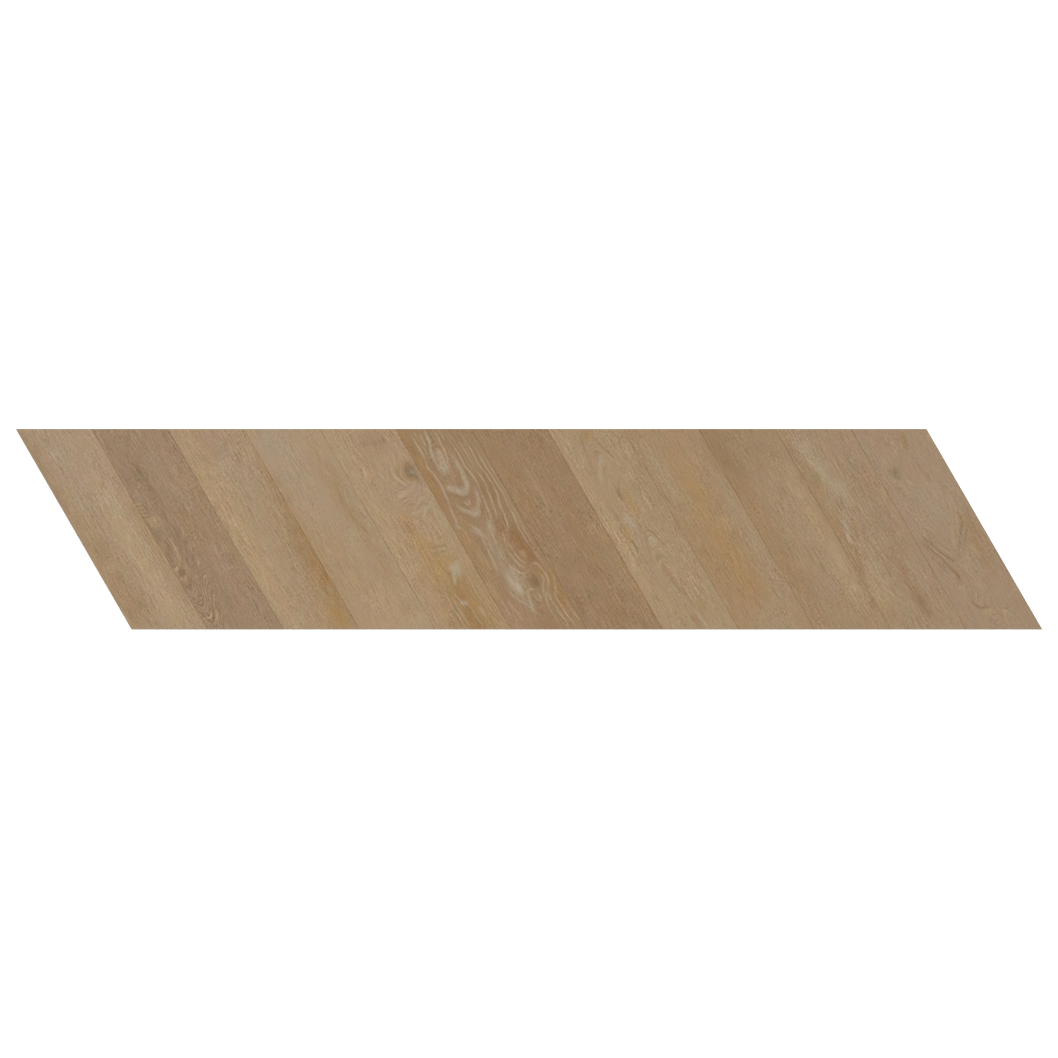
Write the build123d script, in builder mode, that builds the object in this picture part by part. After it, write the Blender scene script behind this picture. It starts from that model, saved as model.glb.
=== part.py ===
from build123d import *

import os
from math import cos, radians, sin, tan

# Vinyl chevron plank: one hot-pressed sheet of filled vinyl with mitred ends, printed with a row of
# oak staves. It lies face up on its back, with the origin at the centre of the back. +X runs along
# the long edges, +Y across the plank and +Z out of the printed face. Sizes are in millimetres and
# degrees.

# The plank, as it is cut from the pressed sheet
STAVE_COUNT = 12  # staves side by side in one plank
STAVE_WIDTH = 75.0  # one stave, measured square to its joints
PLANK_WIDTH = 228.6  # between the two long edges
PLANK_THICKNESS = 2.5  # from the back to the printed face
CHEVRON_ANGLE = 60.0  # between a long edge and the mitred ends, and so the joints

# The pressed joints between staves, and the half joint along every edge of the face
JOINT_WIDTH = 1.0  # mouth of the V, at the printed face
JOINT_DEPTH = 0.3  # from the printed face to the root of the V

# What follows from them
chevron = radians(CHEVRON_ANGLE)
edge_length = STAVE_COUNT * STAVE_WIDTH / sin(chevron)
mitre_run = PLANK_WIDTH / tan(chevron)
joint_length = PLANK_WIDTH / sin(chevron)
joint_reach = (edge_length * cos(chevron) + joint_length) / 2  # clears both edges at the last joint
edge_bevel_width = JOINT_WIDTH / 2

# Looks along a joint, so that the joints show in section, one stave apart. Its local x runs across
# the staves, and its local y is +Z.
across_joints = Plane(
    origin=(0, 0, PLANK_THICKNESS),
    x_dir=Vector(1, 0, 0).rotate(Axis.Z, 90 - CHEVRON_ANGLE),
    z_dir=Vector(0, -1, 0).rotate(Axis.Z, 90 - CHEVRON_ANGLE),
)

with BuildPart() as chevron_plank:
    # The parallelogram outline, its far long edge set back to the left
    with BuildSketch():
        with BuildLine():
            Polyline(
                (-(edge_length - mitre_run) / 2, -PLANK_WIDTH / 2),
                ((edge_length + mitre_run) / 2, -PLANK_WIDTH / 2),
                ((edge_length - mitre_run) / 2, PLANK_WIDTH / 2),
                (-(edge_length + mitre_run) / 2, PLANK_WIDTH / 2),
                close=True,
            )
        make_face()
    extrude(amount=PLANK_THICKNESS)

    # Half a joint along each edge, so that two planks laid side by side close into a whole one
    face = chevron_plank.faces().sort_by(Axis.Z)[-1]
    chamfer(face.edges(), length=edge_bevel_width, length2=JOINT_DEPTH, reference=face)

    # The V joints between the staves, pressed from one long edge to the other
    with BuildSketch(across_joints):
        with GridLocations(STAVE_WIDTH, 0, STAVE_COUNT - 1, 1):
            Polygon(
                (-JOINT_WIDTH / 2, 0),
                (0, -JOINT_DEPTH),
                (JOINT_WIDTH / 2, 0),
                align=None,
            )
    extrude(amount=joint_reach, both=True, mode=Mode.SUBTRACT)

chevron_plank.part.label = "chevron_plank"

os.makedirs("parts", exist_ok=True)
export_step(chevron_plank.part, "parts/chevron_plank.step")
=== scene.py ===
"""Looks of one vinyl chevron plank: its printed and pressed oak face, its cut edges and its back.

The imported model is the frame. The plank lies face up on its back, with +X along the long edges, +Y across
it and +Z out of the printed face. Sizes are in millimetres and become metres where a mesh is made.

A place on a stave is given as (along, across): along runs down the grain from the point where the stave's
left joint meets the far long edge, and across runs square to it, from the left joint to the right one.
"""

import logging
from dataclasses import dataclass, replace
from enum import Enum
from math import cos, pi, radians, sin, tan
from typing import Any

import bpy
import numpy as np
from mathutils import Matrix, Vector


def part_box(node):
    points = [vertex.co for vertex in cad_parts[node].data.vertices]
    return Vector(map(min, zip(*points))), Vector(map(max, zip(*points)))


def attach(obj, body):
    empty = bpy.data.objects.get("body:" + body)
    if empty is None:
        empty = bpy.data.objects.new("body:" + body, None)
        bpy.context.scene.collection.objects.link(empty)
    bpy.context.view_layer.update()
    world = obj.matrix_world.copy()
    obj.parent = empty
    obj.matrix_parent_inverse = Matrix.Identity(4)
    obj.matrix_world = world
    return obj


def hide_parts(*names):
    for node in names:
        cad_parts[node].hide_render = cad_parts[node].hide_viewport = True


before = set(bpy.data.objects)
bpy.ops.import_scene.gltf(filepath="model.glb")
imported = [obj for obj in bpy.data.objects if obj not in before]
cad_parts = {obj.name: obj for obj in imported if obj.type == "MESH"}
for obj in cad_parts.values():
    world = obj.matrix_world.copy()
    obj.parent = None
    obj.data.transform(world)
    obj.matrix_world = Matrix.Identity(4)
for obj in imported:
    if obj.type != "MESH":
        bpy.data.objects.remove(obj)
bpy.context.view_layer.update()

MM = 0.001  # one millimetre in Blender's metres
NODE = "chevron_plank"
BODY = "root"
WHITE = (1.0, 1.0, 1.0, 1.0)
NOISE_MEAN = 0.5  # of Blender's noise texture
SHORTEST = 1e-9  # square of a length, in mm, that still divides safely

Place = tuple[float, float]
log = logging.getLogger("chevron_plank")


def linear(hex_code: str) -> np.ndarray:
    """Turns an sRGB hex colour into linear light.

    Args:
        hex_code: The colour, as "#rrggbb".

    Returns:
        Its red, green and blue in linear light.
    """
    levels = np.array([int(hex_code[i : i + 2], 16) / 255 for i in (1, 3, 5)])
    return np.where(levels <= 0.04045, levels / 12.92, ((levels + 0.055) / 1.055) ** 2.4)


def add_node(
    tree: bpy.types.NodeTree,
    kind: str,
    settings: dict[str, Any] | None = None,
    inputs: dict[str | int, Any] | None = None,
) -> bpy.types.Node:
    """Adds a node with its settings and its inputs.

    Args:
        tree: The node tree that it goes into.
        kind: The node's type, such as "ShaderNodeTexNoise".
        settings: Values of the node's own properties.
        inputs: For each input socket, by name or number, another node's output or a plain value.

    Returns:
        The new node.
    """
    node = tree.nodes.new(kind)
    for name, value in (settings or {}).items():
        setattr(node, name, value)
    for name, value in (inputs or {}).items():
        if isinstance(value, bpy.types.NodeSocket):
            tree.links.new(value, node.inputs[name])
        else:
            node.inputs[name].default_value = value
    return node


def new_material(name: str) -> bpy.types.Material:
    """Makes a material with nothing in its node tree.

    Args:
        name: Its name.

    Returns:
        The material.
    """
    made = bpy.data.materials.new(name)
    made.use_nodes = True
    made.node_tree.nodes.clear()
    return made


def add_object(name: str, data: bpy.types.ID) -> bpy.types.Object:
    """Puts a mesh, a light or a camera into the scene.

    Args:
        name: The object's name.
        data: What it shows.

    Returns:
        The object.
    """
    made = bpy.data.objects.new(name, data)
    bpy.context.scene.collection.objects.link(made)
    return made


class Tone(Enum):
    """Tones of the oak print, as they look on the plank."""

    LIMED = "#ac9b82"  # white paste left in the open grain
    CHALK = "#b39d7e"  # thin white paste over light wood
    CREAM = "#b69a72"  # light warm wood
    MIST = "#a4907a"  # light cool wood
    SAGE = "#a5937a"  # light wood with a green cast
    ROSE = "#a5866c"  # pinkish wood
    HONEY = "#a98655"  # light yellow-brown wood
    OCHRE = "#9c794b"  # yellow-brown wood
    RUST = "#8c653c"  # red-brown heartwood
    UMBER = "#7d6548"  # dark late wood
    BARK = "#6f5a3e"  # the dark ring of a knot
    SLATE = "#a0968a"  # the grey heart of a knot

    @property
    def light(self) -> np.ndarray:
        """The tone in linear light."""
        return linear(self.value)


# The tones by their bare names, for the staves below
LIMED, CHALK, CREAM, MIST, SAGE, ROSE, HONEY, OCHRE, RUST, UMBER, BARK, SLATE = Tone


@dataclass(frozen=True)
class SoftNoise:
    """Smooth random values on a plane, the same on every run."""

    seed: int
    cells: int = 128

    def at(self, x: np.ndarray, y: np.ndarray) -> np.ndarray:
        """Reads the noise, which has about one bump to a unit.

        Args:
            x: First coordinates.
            y: Second coordinates, of the same shape.

        Returns:
            Values from -1 to 1.
        """
        table = np.random.default_rng(self.seed).uniform(-1, 1, (self.cells, self.cells))
        column, row = np.floor(x).astype(int), np.floor(y).astype(int)
        fx, fy = x - column, y - row
        fx, fy = fx * fx * (3 - 2 * fx), fy * fy * (3 - 2 * fy)
        left, right = column % self.cells, (column + 1) % self.cells
        low, high = row % self.cells, (row + 1) % self.cells
        near = table[left, low] * (1 - fx) + table[right, low] * fx
        far = table[left, high] * (1 - fx) + table[right, high] * fx
        return near * (1 - fy) + far * fy


@dataclass(frozen=True)
class Spots:
    """Many places on one stave, as arrays of the same shape."""

    along: np.ndarray
    across: np.ndarray


@dataclass(frozen=True)
class Tint:
    """A soft patch of another tone in the print, long in the direction of the grain."""

    tone: Tone
    strength: float
    centre: Place
    reach: Place  # half its length along the grain, half its width across it
    lean: float = 0.0  # degrees that it turns to the right as it runs down the grain

    def mask(self, at: Spots) -> np.ndarray:
        """Draws the patch.

        Args:
            at: Places on the stave.

        Returns:
            How much of the tone each place takes, from 0 to the tint's strength.
        """
        down = at.along - self.centre[0]
        aside = at.across - self.centre[1] - down * tan(radians(self.lean))
        return self.strength * np.exp(-((down / self.reach[0]) ** 4) - (aside / self.reach[1]) ** 2)


@dataclass(frozen=True)
class Stroke:
    """One line of the grain, drawn as a smooth curve through a few places."""

    tone: Tone
    strength: float
    width: float  # from its middle to where it has thinned out to about a third
    places: tuple[Place, ...]
    end_share: float = 0.15  # of its length, over which an end thins out
    end_strength: float = 0.1  # what is left at the very end
    flank_gap: float = 2.0  # in widths, from its middle to that of the darker wood on either side
    flank_width: float = 0.9  # of that wood, in widths of the line

    @classmethod
    def several(
        cls, tone: Tone, strength: float, width: float, *routes: tuple[Place, ...]
    ) -> tuple["Stroke", ...]:
        """Draws lines that are alike but for their places.

        Args:
            tone: Their tone.
            strength: Their strength.
            width: Their width.
            *routes: The places of each line.

        Returns:
            The lines.
        """
        return tuple(cls(tone, strength, width, route) for route in routes)

    def nested(self, count: int, along: float, across: float = 0.0) -> tuple["Stroke", ...]:
        """Repeats the line, as one ring of the tree follows another.

        Args:
            count: How many lines there are, with this one.
            along: Distance from one line to the next along the grain.
            across: The same across the grain.

        Returns:
            The lines.
        """
        return tuple(
            replace(self, places=tuple((a + i * along, b + i * across) for a, b in self.places))
            for i in range(count)
        )

    def curve(self, steps: int = 7) -> np.ndarray:
        """Places on a Catmull-Rom curve through the stroke's own places.

        Args:
            steps: Places on the curve for each span.

        Returns:
            The places, one to a row.
        """
        p = np.array(self.places, float)
        p = np.vstack([2 * p[0] - p[1], p, 2 * p[-1] - p[-2]])
        t = (np.arange(steps) / steps)[:, None]
        spans = [
            0.5 * (2 * b + (c - a) * t + (2 * a - 5 * b + 4 * c - d) * t**2 + (3 * b - a - 3 * c + d) * t**3)
            for a, b, c, d in zip(p, p[1:], p[2:], p[3:])
        ]
        return np.vstack([*spans, p[-2:-1]])

    def nearest(self, at: Spots) -> tuple[np.ndarray, np.ndarray]:
        """Finds how far each place is from the line.

        Args:
            at: Places on the stave.

        Returns:
            Each place's distance to the line, and how far along the line, from 0 to 1, it is nearest.
        """
        line = self.curve()
        best = np.full(at.along.shape, np.inf)
        share = np.zeros(at.along.shape)
        for i, ((a0, b0), (a1, b1)) in enumerate(zip(line, line[1:])):
            run, rise = a1 - a0, b1 - b0
            t = ((at.along - a0) * run + (at.across - b0) * rise) / max(run * run + rise * rise, SHORTEST)
            t = np.clip(t, 0, 1)
            gap = np.hypot(at.along - a0 - t * run, at.across - b0 - t * rise)
            share = np.where(gap < best, (i + t) / (len(line) - 1), share)
            best = np.minimum(best, gap)
        return best, share

    def mask(self, at: Spots) -> tuple[np.ndarray, np.ndarray]:
        """Draws the line, thinning out at both ends.

        Args:
            at: Places on the stave.

        Returns:
            How much of the tone each place takes, and how much the places beside the line darken.
        """
        gap, share = self.nearest(at)
        ends = np.clip(np.minimum(share, 1 - share) / self.end_share, self.end_strength, 1)
        to_flank = (gap - self.flank_gap * self.width) / (self.flank_width * self.width)
        taper = self.strength * ends
        return taper * np.exp(-((gap / self.width) ** 2)), taper * np.exp(-(to_flank**2))


@dataclass(frozen=True)
class Arches:
    """Nested arches, where the saw has cut across the rings of the tree."""

    strength: float  # how much more strongly than elsewhere the fine grain shows
    first: Place  # apex of the first arch
    last: Place  # and of the last
    spread: Place  # how far these two open, in mm, for a mm along the grain raised to the power below
    reach: float  # length over which the arms fade, up the grain or, where negative, down it
    grain: float  # width of straight grain that runs into them
    power: float = 0.5  # 0.5 for round arches, 1 for pointed ones
    end_fade: float = 6.0  # mm over which the first and the last arch fade in
    search_steps: int = 40
    search_pull: float = 0.3  # how much of the miss a step of the search takes up

    def apex(self, at: Spots) -> np.ndarray:
        """Finds the arch that runs through each place.

        Args:
            at: Places on the stave.

        Returns:
            Where along the grain that arch has its apex.
        """
        apex = np.full(at.along.shape, (self.first[0] + self.last[0]) / 2)
        for _ in range(self.search_steps):
            share = np.clip((apex - self.first[0]) / (self.last[0] - self.first[0]), 0, 1)
            axis = self.first[1] + share * (self.last[1] - self.first[1])
            spread = self.spread[0] + share * (self.spread[1] - self.spread[0])
            arm = (np.abs(at.across - axis) / spread) ** (1 / self.power)
            apex += self.search_pull * (at.along + np.sign(self.reach) * arm - apex)
        return apex

    def window(self, at: Spots, apex: np.ndarray) -> np.ndarray:
        """Finds how clearly the arches show.

        Args:
            at: Places on the stave.
            apex: Where along the grain the arch through each place has its apex.

        Returns:
            Their share at each place, from 0 to 1.
        """
        arm = (apex - at.along) / self.reach
        low, high = sorted((self.first[0], self.last[0]))
        inside = np.clip(np.minimum(apex - low, high - apex) / self.end_fade, 0, 1)
        return inside * np.exp(-(arm**2))

    def straightened(self, apex: np.ndarray) -> np.ndarray:
        """Which line of straight grain the arms of each arch run into, in millimetres across."""
        return self.first[1] + self.grain * (apex - self.first[0]) / (self.last[0] - self.first[0])


@dataclass(frozen=True)
class Knot:
    """A knot or a pin knot: a dark ring round a heart, which the grain flows past."""

    centre: Place
    reach: Place  # half-length and half-width of the dark ring
    ring: float  # strength of the ring
    heart: float = 0.0  # strength of the grey heart
    heart_size: Place = (0.36, 0.42)  # of the ring's
    flow_size: Place = (2.2, 1.8)  # of the ring's, where the grain still bends
    flow_push: float = 0.9  # how far the grain bends, in half-widths of the ring
    flow_turn: float = 3.0  # how sharply the grain parts above and below

    def tints(self) -> tuple[Tint, ...]:
        """Draws the knot as patches.

        Returns:
            Its ring and its heart.
        """
        small = (self.reach[0] * self.heart_size[0], self.reach[1] * self.heart_size[1])
        return Tint(BARK, self.ring, self.centre, self.reach), Tint(SLATE, self.heart, self.centre, small)

    def push(self, at: Spots) -> np.ndarray:
        """Finds how the grain flows past the knot.

        Args:
            at: Places on the stave.

        Returns:
            How far the knot pushes the grain aside at each place.
        """
        down = (at.along - self.centre[0]) / (self.flow_size[0] * self.reach[0])
        aside = (at.across - self.centre[1]) / (self.flow_size[1] * self.reach[1])
        near = np.exp(-(down**2) - np.abs(aside))
        return self.flow_push * self.reach[1] * np.tanh(self.flow_turn * aside) * near


@dataclass(frozen=True)
class Stave:
    """One printed stave: its tone, how strongly its fine grain shows, its figure and the painted shade at its
    left joint.
    """

    ground: str  # its plain tone
    fibre: float = 1.0
    joint_shade: float = 0.88  # painted shade: share of the print's light kept at the root of its left joint, where the groove darkens it
    columns: int = 36  # of its mesh
    tints: tuple[Tint, ...] = ()
    strokes: tuple[Stroke, ...] = ()
    arches: tuple[Arches, ...] = ()
    knots: tuple[Knot, ...] = ()


STAVES = (
    # Quiet, with a dark left margin, a cool top and a light band down its right half
    Stave(
        "#a89075", fibre=1.16,
        tints=(
            Tint(UMBER, 0.22, (65, 2), (62, 6)),
            Tint(OCHRE, 0.18, (75, 8), (75, 8)),
            Tint(MIST, 0.45, (48, 28), (46, 16)),
            Tint(ROSE, 0.25, (78, 27), (14, 9)),
            Tint(SAGE, 0.5, (112, 32), (14, 12)),
            Tint(OCHRE, 0.28, (208, 14), (78, 17)),
            Tint(UMBER, 0.08, (208, 14), (78, 17)),
            Tint(RUST, 0.14, (238, 18), (14, 12)),
            Tint(CREAM, 0.36, (205, 50), (105, 10)),
            Tint(CHALK, 0.3, (190, 50), (90, 9)),
            Tint(LIMED, 0.65, (124, 52), (16, 6)),
            Tint(OCHRE, 0.28, (200, 71), (95, 6)),
        ),
    ),
    # Brown, with the ends of cathedral arches against its left joint
    Stave(
        "#9b8268", fibre=1.41, joint_shade=0.8, columns=80,
        tints=(
            Tint(UMBER, 0.22, (130, 23), (95, 7)),
            Tint(OCHRE, 0.3, (155, 42), (26, 10)),
            Tint(UMBER, 0.16, (75, 22), (30, 8)),
            Tint(SAGE, 0.25, (85, 43), (34, 6)),
            Tint(ROSE, 0.35, (85, 58), (45, 7)),
            Tint(ROSE, 0.35, (225, 50), (70, 7)),
            Tint(UMBER, 0.14, (240, 36), (45, 5)),
            Tint(HONEY, 0.18, (160, 68), (70, 6)),
            Tint(CREAM, 0.45, (129, 8), (7, 5)),
            Tint(UMBER, 0.3, (143, 4), (10, 5)),
            Tint(UMBER, 0.55, (193, 6), (4, 4)),
        ),
        strokes=(
            Stroke(CREAM, 0.4, 1.2, ((6, 1), (18, 2.5), (30, 3))),
            *Stroke.several(
                UMBER, 0.34, 1.2,
                ((8, 4.5), (20, 5.5), (34, 6)),
                ((40, 3), (56, 4), (74, 4.6), (90, 5)),
            ),
            *Stroke(CREAM, 0.55, 1.1, ((99, 0), (101.5, 3), (101, 7))).nested(5, 5.0),
            *Stroke(UMBER, 0.5, 1.1, ((101.5, 0), (104, 3), (103.5, 6))).nested(4, 5.0),
            *Stroke(UMBER, 0.42, 1.1, ((148, 12), (156, 9), (166, 4), (172, 0))).nested(3, 6.0),
            Stroke(CREAM, 0.75, 1.8, ((188, 0), (186.5, 4), (185, 8), (182, 12))),
            *Stroke.several(
                CREAM, 0.55, 1.2,
                ((182, 12), (174, 13.6), (164, 14.4), (150, 16)),
                ((246, 17), (250, 13.5), (254, 9), (252, 4), (249, 0)),
                ((249, 19), (256, 17.4), (261, 14), (265, 10.5)),
                ((196, 1), (202, 4.6), (203, 7), (199, 9.4), (192, 12), (182, 14)),
            ),
            *Stroke.several(
                LIMED, 0.3, 1.3,
                ((98, 48), (110, 48.5), (124, 48)),
                ((112, 51), (126, 51), (138, 50)),
            ),
        ),
        arches=(Arches(1.1, (201, 5.5), (310, 13.3), (1.6, 1.8), 85, 72),),
    ),
    # Straw-coloured, darkening to ochre along its right joint
    Stave(
        "#a68d70", fibre=1.23, joint_shade=0.9,
        tints=(
            Tint(CREAM, 0.42, (150, 13), (125, 16)),
            Tint(MIST, 0.42, (75, 43), (50, 11)),
            Tint(ROSE, 0.32, (35, 36), (22, 14)),
            Tint(OCHRE, 0.38, (135, 75), (55, 9)),
            Tint(OCHRE, 0.15, (152, 56), (40, 9)),
            Tint(OCHRE, 0.68, (238, 73), (72, 20), -6),
            Tint(RUST, 0.2, (200, 75), (80, 9)),
            Tint(HONEY, 0.35, (285, 54), (24, 14)),
            Tint(LIMED, 0.25, (262, 20), (10, 8)),
        ),
        strokes=(
            *Stroke(UMBER, 0.24, 1.1, ((150, 67), (170, 61), (188, 55))).nested(4, 13.0),
            *Stroke(UMBER, 0.2, 1.0, ((168, 70), (185, 66), (205, 59))).nested(3, 15.0),
            *Stroke.several(
                CREAM, 0.26, 1.3,
                ((80, 36), (92, 36), (102, 35.5)),
                ((46, 58), (54, 60), (60, 59)),
            ),
        ),
    ),
    # The plainest: light and cool at its top left, with one thin dark line
    Stave(
        "#a89073", fibre=0.9, joint_shade=0.85,
        tints=(
            Tint(MIST, 0.6, (42, 22), (52, 18)),
            Tint(LIMED, 0.22, (40, 20), (30, 14)),
            Tint(ROSE, 0.08, (60, 20), (60, 16)),
            Tint(OCHRE, 0.26, (150, 4), (95, 5)),
            Tint(OCHRE, 0.26, (115, 57), (62, 9)),
            Tint(RUST, 0.1, (150, 62), (70, 9)),
            Tint(MIST, 0.3, (125, 32), (28, 8)),
            Tint(HONEY, 0.12, (255, 34), (45, 30)),
            Tint(OCHRE, 0.16, (212, 60), (42, 10)),
            Tint(CREAM, 0.25, (262, 34), (30, 26)),
            Tint(HONEY, 0.2, (180, 20), (50, 16)),
        ),
        strokes=(
            Stroke(UMBER, 0.26, 1.1, ((110, 58), (130, 57), (148, 58), (162, 60.5), (178, 64))),
            *Stroke(CREAM, 0.2, 1.1, ((245, 55), (268, 55), (290, 56))).nested(3, 4.0, 6.0),
        ),
    ),
    # Straw on the left, with a knot by its right joint, curls under it and ochre heartwood lower down
    Stave(
        "#a88e70", fibre=1.29, joint_shade=0.87, columns=66,
        tints=(
            Tint(CREAM, 0.25, (110, 8), (120, 10)),
            Tint(SAGE, 0.25, (60, 9), (50, 9)),
            Tint(UMBER, 0.12, (40, 46), (14, 20)),
            Tint(ROSE, 0.32, (45, 50), (20, 22)),
            Tint(HONEY, 0.25, (74, 24), (8, 4)),
            Tint(OCHRE, 0.45, (93, 59), (14, 7)),
            Tint(BARK, 0.4, (97, 62), (9, 3.4)),
            Tint(BARK, 0.3, (87, 67), (4, 5)),
            Tint(BARK, 0.25, (107, 69), (5, 4)),
            Tint(MIST, 0.5, (116, 60), (10, 8)),
            Tint(SAGE, 0.4, (133, 62), (9, 6)),
            Tint(HONEY, 0.45, (150, 33), (22, 10)),
            Tint(HONEY, 0.55, (192, 38), (26, 18)),
            Tint(HONEY, 0.5, (248, 46), (50, 28)),
            Tint(OCHRE, 0.4, (262, 46), (42, 20)),
            Tint(OCHRE, 0.34, (262, 69), (38, 9)),
            Tint(ROSE, 0.3, (241, 51), (12, 8)),
            Tint(RUST, 0.26, (241, 48), (12, 9)),
            Tint(RUST, 0.24, (278, 44), (22, 10)),
            Tint(SAGE, 0.45, (160, 70), (9, 5)),
            Tint(CREAM, 0.45, (177, 52), (7, 3.4), 25),
            Tint(UMBER, 0.22, (148, 46), (5, 3)),
            Tint(LIMED, 0.9, (218, 56.5), (9, 5.6), -8),
            Tint(LIMED, 0.6, (213, 52), (4, 3), 40),
            Tint(BARK, 0.24, (249, 46.5), (3, 3.5)),
            Tint(LIMED, 0.95, (256, 43.5), (3.8, 2.6), 30),
            Tint(CHALK, 0.55, (273, 57), (8, 2.2)),
        ),
        strokes=(
            *Stroke(UMBER, 0.3, 0.9, ((37, 35), (40, 33.5), (43, 32))).nested(9, 1.2, 3.0),
            Stroke(CHALK, 0.8, 1.5, ((78, 50.4), (85, 48.2), (92, 48.0), (98, 49.5), (103, 52), (107, 55))),
            *Stroke.several(
                CHALK, 0.42, 1.2,
                ((84, 57), (90, 54.6), (97, 54.6), (103, 57), (108, 61)),
                ((76, 33), (82, 34.5), (87, 36)),
                ((80, 42), (88, 41), (97, 42), (104, 45)),
            ),
            *Stroke.several(
                CHALK, 0.34, 1.3,
                ((101, 38), (106, 42), (111, 47), (113.5, 53), (111.5, 60), (109, 66)),
                ((107, 37), (112, 41), (117, 46), (118.5, 53), (116, 60), (114, 68)),
                ((112, 37), (118, 42), (122, 48), (123, 54), (120, 60), (121, 68)),
            ),
            *Stroke.several(
                UMBER, 0.16, 1.1,
                ((104, 38), (109, 43), (113.6, 48.5), (115.8, 54), (113.6, 60), (112, 65)),
                ((109.6, 36), (115, 41.5), (119.6, 47), (121, 53.5), (118, 60), (118, 66)),
                ((117, 37), (122, 42), (126, 48), (126.6, 53)),
            ),
            *Stroke.several(
                CHALK, 0.8, 1.6,
                ((135, 44), (132.5, 50), (130.5, 55), (127.4, 60), (128.4, 67)),
                ((150, 51), (145, 55.5), (140.5, 59), (138.6, 62), (140, 68.5)),
                ((186, 47.5), (188.4, 53), (189.6, 59)),
            ),
            Stroke(LIMED, 0.9, 1.8, ((217, 52), (221, 50), (226, 47.8), (233, 45.4))),
            *Stroke.several(
                CHALK, 0.45, 1.2,
                ((146, 43), (152, 45.6), (161, 46), (171, 47.6)),
                ((157, 59), (166, 60), (175, 61)),
                ((180, 37), (185, 43), (189, 47.5), (191, 52)),
                ((193, 48), (195, 54), (197, 61)),
                ((225, 29), (244, 30), (262, 30.6), (284, 31.5)),
                ((240, 34), (258, 34.6), (282, 35.5)),
                ((234, 38.4), (244, 39.6), (253, 42.4)),
                ((260, 47.6), (272, 47.6), (290, 48.4)),
            ),
            *Stroke.several(
                UMBER, 0.32, 1.2,
                ((136, 46), (134.6, 51), (133, 56), (131, 62)),
                ((137, 60.5), (137.6, 63), (138.2, 66)),
                ((179, 46), (184, 50), (187, 56), (188, 61)),
                ((188, 45), (190.4, 50), (192.5, 57)),
                ((198, 40.5), (206, 43), (214, 44.4), (221, 46)),
                ((260, 45), (272, 45.4), (290, 46)),
                ((258, 40), (268, 40), (280, 41)),
                ((238, 27), (256, 27.4), (280, 28.4)),
                ((236, 32.4), (258, 32.8), (284, 33.6)),
            ),
            *Stroke(CHALK, 0.4, 1.0,
                ((196, 71), (206, 67), (218, 63.6), (240, 62.6), (262, 63), (284, 64), (302, 66))
            ).nested(4, 0.0, 3.2),
        ),
        arches=(Arches(-0.5, (102, 54), (150, 52), (2.8, 2.8), 22, 20, 0.7),),
        knots=(Knot((96.5, 67.5), (7.5, 5), 0.6, 0.7),),
    ),
    # The most figured: limed lines that flow round eyes, a pocket of heartwood and a knot
    Stave(
        "#9b7e5f", fibre=1.03, joint_shade=0.97, columns=96,
        tints=(
            Tint(OCHRE, 0.5, (50, 4.5), (62, 5.5)),
            Tint(RUST, 0.22, (34, 6), (8, 3)),
            Tint(HONEY, 0.3, (160, 8), (45, 8)),
            Tint(UMBER, 0.14, (42, 56), (18, 12)),
            Tint(LIMED, 1.0, (59, 27.8), (13, 4.8)),
            Tint(LIMED, 0.75, (67, 26), (8, 4), -25),
            Tint(ROSE, 0.5, (82, 31), (9, 6.5)),
            Tint(RUST, 0.12, (113, 30), (6, 5)),
            Tint(UMBER, 0.22, (112, 56), (16, 7)),
            Tint(UMBER, 0.16, (106, 60), (58, 10)),
            Tint(OCHRE, 0.15, (112, 56), (16, 7)),
            Tint(LIMED, 0.6, (129, 32), (6, 5)),
            Tint(LIMED, 0.7, (149, 22.5), (8, 3.4), 20),
            Tint(LIMED, 0.7, (151, 38), (8, 4), -15),
            Tint(MIST, 0.55, (178, 28), (30, 6)),
            Tint(LIMED, 1.0, (219, 31), (19, 7.5)),
            Tint(LIMED, 0.6, (218, 31), (12, 5)),
            Tint(LIMED, 0.6, (250, 31.5), (8, 4)),
            Tint(RUST, 0.4, (155, 47), (10, 4)),
            Tint(RUST, 0.3, (184, 54), (26, 8)),
            Tint(RUST, 0.5, (178, 61), (16, 6)),
            Tint(RUST, 0.66, (200, 62.5), (13, 5)),
            Tint(CREAM, 0.45, (195, 55), (6, 3)),
            Tint(OCHRE, 0.4, (220, 60), (10, 4.5)),
            Tint(OCHRE, 0.55, (250, 67), (30, 7)),
            Tint(CREAM, 0.45, (215, 4), (12, 3.5)),
            Tint(ROSE, 0.55, (258, 12), (24, 14)),
            Tint(RUST, 0.15, (282, 40), (12, 9)),
            Tint(BARK, 0.4, (232, 53), (3, 2.6)),
        ),
        strokes=(
            *Stroke.several(
                CHALK, 0.7, 1.1,
                ((10, 12.6), (30, 12.7), (45, 11.9), (58, 10.9), (68, 12.5), (82, 13.2), (94, 12.2),
                 (103, 11.3), (109, 10)),
                ((22, 36.9), (34, 36.8), (46, 36.5), (54, 35.8), (61, 34.2), (67, 32)),
                ((199, 34.4), (206, 38), (211, 40.6), (215, 43.6), (218, 47.4)),
                ((241, 36.4), (236.5, 38.6), (236, 42), (238, 47)),
            ),
            Stroke(LIMED, 0.75, 1.6,
                ((15, 28.8), (24, 27.4), (31, 26.7), (37, 25), (43, 22.8), (50, 20.9), (57, 20.5),
                 (64, 20.8), (71, 21.6))
            ),
            Stroke(LIMED, 0.7, 2.5,
                ((48, 40.2), (60, 40.7), (70, 41.2), (79, 41.4), (87, 40.8), (93, 39.6), (99, 36.8),
                 (104.5, 32.5), (101, 28.5), (96, 24), (89, 20.8))
            ),
            Stroke(LIMED, 0.64, 2.1,
                ((109, 16), (115, 18.6), (120, 22), (125, 26.2), (131, 31.5), (127, 36), (121.5, 39.6),
                 (115, 42.1), (108, 44), (100, 45.4))
            ),
            *Stroke.several(
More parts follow.
